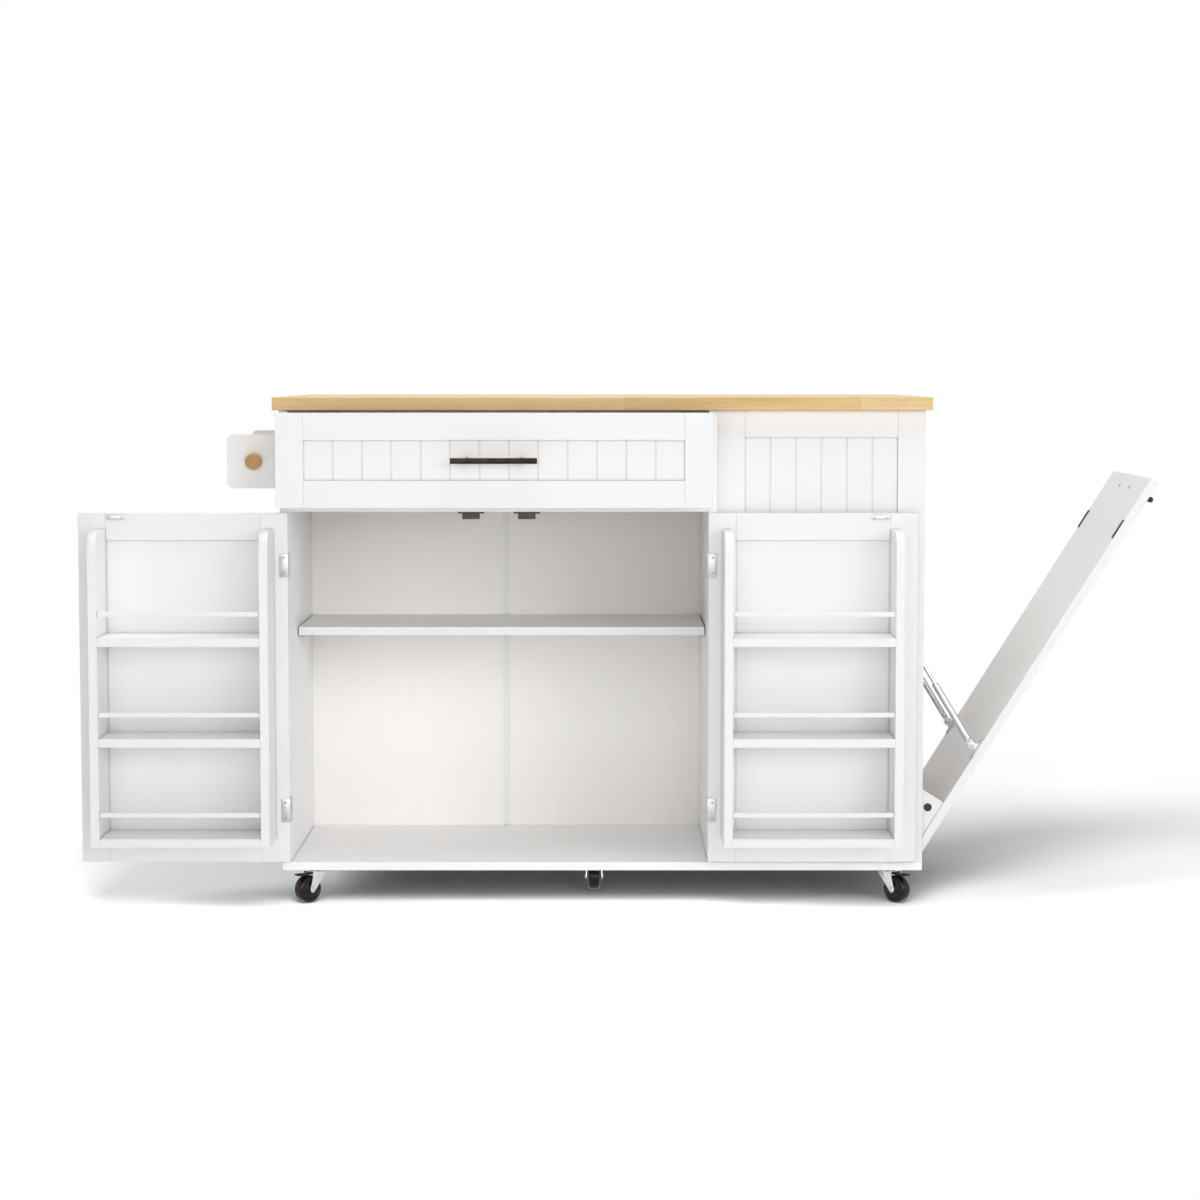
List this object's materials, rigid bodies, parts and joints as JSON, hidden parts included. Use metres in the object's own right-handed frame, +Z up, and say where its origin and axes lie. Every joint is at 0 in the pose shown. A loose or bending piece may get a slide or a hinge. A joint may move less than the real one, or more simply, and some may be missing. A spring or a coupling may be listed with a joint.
{
  "type": "drop leaf kitchen island",
  "caption": "Rolling kitchen island with drawer, two rack doors, tilt-out bin door, towel bar and a wooden worktop with a folding rear leaf.",
  "frame": {"origin": "on the floor, under the centre of the open island's bounding box", "axes": "+X along the cabinet's length towards the bin door, +Y from the doors to the rear leaf, +Z up"},
  "size_m": [1.9374, 0.7526, 0.914],
  "materials": {
    "rubberwood_top": "satin clear coat",
    "white_lacquer": "satin white lacquer on fibreboard",
    "white_hardboard": "white foil, matt",
    "oiled_dowel": "clear coat",
    "dark_bronze": "satin",
    "chrome_steel": "polished",
    "zinc_steel": "zinc plated",
    "white_plastic": "matt",
    "brown_plastic": "matt",
    "black_plastic": "matt",
    "black_steel": "satin black",
    "tyre_rubber": "matt"
  },
  "bodies": {
    "cabinet": {"worktop": "rubberwood_top", "side_panel_left": "white_lacquer", "partition_panel": "white_lacquer", "bottom_panel": "white_lacquer", "back_panels": "white_hardboard", "back_joint_strip": "white_plastic", "right_front_frame": "white_lacquer", "right_front_beadboard": "white_lacquer", "drawer_stretcher": "white_lacquer", "rear_top_rail": "white_lacquer", "right_rear_post": "white_lacquer", "shelf": "white_lacquer", "shelf_pegs": "zinc_steel", "door_catches": "brown_plastic", "bin_catches": "black_plastic", "cabinet_hinge_leaves": "zinc_steel", "towel_boards": "white_lacquer", "towel_dowel": "oiled_dowel", "caster_plates": "zinc_steel", "drawer_runner_rails": "zinc_steel", "strut_anchors": "zinc_steel", "leaf_hinge_fixed_flaps": "zinc_steel", "stay_tracks": "zinc_steel"},
    "drawer": {"drawer_front_frame": "white_lacquer", "drawer_front_beadboard": "white_lacquer", "drawer_box": "white_lacquer", "drawer_bottom": "white_hardboard", "drawer_handle": "dark_bronze", "drawer_runner_slides": "zinc_steel"},
    "door_left": {"door_left_frame": "white_lacquer", "door_left_beadboard": "white_lacquer", "rack_left": "white_lacquer", "door_left_fittings": "zinc_steel"},
    "door_right": {"door_right_frame": "white_lacquer", "door_right_beadboard": "white_lacquer", "rack_right": "white_lacquer", "door_right_fittings": "zinc_steel"},
    "bin_door": {"bin_door": "white_lacquer", "bin_tray": "white_lacquer", "bin_door_handle": "dark_bronze", "bin_door_fittings": "zinc_steel", "tray_cam_caps": "black_plastic"},
    "strut_tubes": {"strut_tubes": "chrome_steel"},
    "strut_rods": {"strut_rods": "chrome_steel"},
    "drop_leaf": {"drop_leaf": "rubberwood_top", "leaf_fittings": "zinc_steel"},
    "leaf_stays": {"leaf_stays": "zinc_steel"},
    "caster_fork_front_left": {"caster_fork_front_left": "chrome_steel"},
    "caster_wheel_front_left": {"caster_wheel_front_left": "tyre_rubber"},
    "caster_fork_front_right": {"caster_fork_front_right": "chrome_steel"},
    "caster_wheel_front_right": {"caster_wheel_front_right": "tyre_rubber"},
    "caster_fork_middle": {"caster_fork_middle": "chrome_steel"},
    "caster_wheel_middle": {"caster_wheel_middle": "tyre_rubber"},
    "caster_fork_rear_left": {"caster_fork_rear_left": "chrome_steel"},
    "caster_wheel_rear_left": {"caster_wheel_rear_left": "tyre_rubber"},
    "caster_fork_rear_right": {"caster_fork_rear_right": "chrome_steel"},
    "caster_wheel_rear_right": {"caster_wheel_rear_right": "tyre_rubber"},
    "brake_lever_front_left": {"brake_lever_front_left": "black_steel"},
    "brake_lever_front_right": {"brake_lever_front_right": "black_steel"}
  },
  "joints": [
    {"name": "drawer_slide", "type": "slide", "parent": "cabinet", "child": "drawer", "axis": [0, -1, 0], "range_m": [-0.06, 0.23]},
    {"name": "door_left_hinge", "type": "hinge", "parent": "cabinet", "child": "door_left", "pos_m": [-0.59627, -0.2585, 0.4], "axis": [0, 0, 1], "range_deg": [0, 180]},
    {"name": "door_right_hinge", "type": "hinge", "parent": "cabinet", "child": "door_right", "pos_m": [0.15053, -0.2585, 0.4], "axis": [0, 0, -1], "range_deg": [0, 180]},
    {"name": "bin_door_tilt", "type": "hinge", "parent": "cabinet", "child": "bin_door", "pos_m": [0.52963, -0.0487, 0.0942], "axis": [0, 1, 0], "range_deg": [-32, 0]},
    {"name": "strut_tube_pivot", "type": "hinge", "parent": "bin_door", "child": "strut_tubes", "pos_m": [0.6281, -0.0487, 0.28784], "axis": [0, 1, 0], "range_deg": [0, 59.69]},
    {"name": "strut_rod_slide", "type": "slide", "parent": "strut_tubes", "child": "strut_rods", "axis": [-0.5165, 0, 0.8563], "range_m": [-0.05845, 0]},
    {"name": "leaf_hinge", "type": "hinge", "parent": "cabinet", "child": "drop_leaf", "pos_m": [-0.03787, 0.2253, 0.889], "axis": [-1, 0, 0], "range_deg": [0, 90]},
    {"name": "leaf_stay_pivot", "type": "hinge", "parent": "drop_leaf", "child": "leaf_stays", "pos_m": [-0.03787, 0.3153, 0.877], "axis": [1, 0, 0], "range_deg": [0, 122.05]},
    {"name": "caster_swivel_front_left", "type": "hinge", "parent": "cabinet", "child": "caster_fork_front_left", "pos_m": [-0.55887, -0.2057, 0.05], "axis": [0, 0, 1], "continuous": true},
    {"name": "wheel_spin_front_left", "type": "hinge", "parent": "caster_fork_front_left", "child": "caster_wheel_front_left", "pos_m": [-0.5716, -0.21843, 0.025], "axis": [0.7071, -0.7071, 0], "continuous": true},
    {"name": "brake_front_left", "type": "hinge", "parent": "caster_fork_front_left", "child": "brake_lever_front_left", "pos_m": [-0.56382, -0.21065, 0.0527], "axis": [0.7071, -0.7071, 0], "range_deg": [0, 6]},
    {"name": "caster_swivel_front_right", "type": "hinge", "parent": "cabinet", "child": "caster_fork_front_right", "pos_m": [0.48313, -0.2057, 0.05], "axis": [0, 0, 1], "continuous": true},
    {"name": "wheel_spin_front_right", "type": "hinge", "parent": "caster_fork_front_right", "child": "caster_wheel_front_right", "pos_m": [0.49585, -0.21843, 0.025], "axis": [0.7071, 0.7071, 0], "continuous": true},
    {"name": "brake_front_right", "type": "hinge", "parent": "caster_fork_front_right", "child": "brake_lever_front_right", "pos_m": [0.48808, -0.21065, 0.0527], "axis": [0.7071, 0.7071, 0], "range_deg": [0, 6]},
    {"name": "caster_swivel_middle", "type": "hinge", "parent": "cabinet", "child": "caster_fork_middle", "pos_m": [-0.05287, -0.0657, 0.05], "axis": [0, 0, 1], "continuous": true},
    {"name": "wheel_spin_middle", "type": "hinge", "parent": "caster_fork_middle", "child": "caster_wheel_middle", "pos_m": [-0.05287, -0.0837, 0.025], "axis": [1, 0, 0], "continuous": true},
    {"name": "caster_swivel_rear_left", "type": "hinge", "parent": "cabinet", "child": "caster_fork_rear_left", "pos_m": [-0.55887, 0.1303, 0.05], "axis": [0, 0, 1], "continuous": true},
    {"name": "wheel_spin_rear_left", "type": "hinge", "parent": "caster_fork_rear_left", "child": "caster_wheel_rear_left", "pos_m": [-0.57446, 0.1213, 0.025], "axis": [0.5, -0.866, 0], "continuous": true},
    {"name": "caster_swivel_rear_right", "type": "hinge", "parent": "cabinet", "child": "caster_fork_rear_right", "pos_m": [0.48313, 0.1303, 0.05], "axis": [0, 0, 1], "continuous": true},
    {"name": "wheel_spin_rear_right", "type": "hinge", "parent": "caster_fork_rear_right", "child": "caster_wheel_rear_right", "pos_m": [0.50004, 0.12414, 0.025], "axis": [0.342, 0.9397, 0], "continuous": true}
  ],
  "couplings": [
    {"joint": "strut_tube_pivot", "follows": "bin_door_tilt", "ratio": -1.8638},
    {"joint": "strut_rod_slide", "follows": "bin_door_tilt", "m_per_rad": 0.10447},
    {"joint": "leaf_stay_pivot", "follows": "leaf_hinge", "ratio": 1.3556}
  ]
}
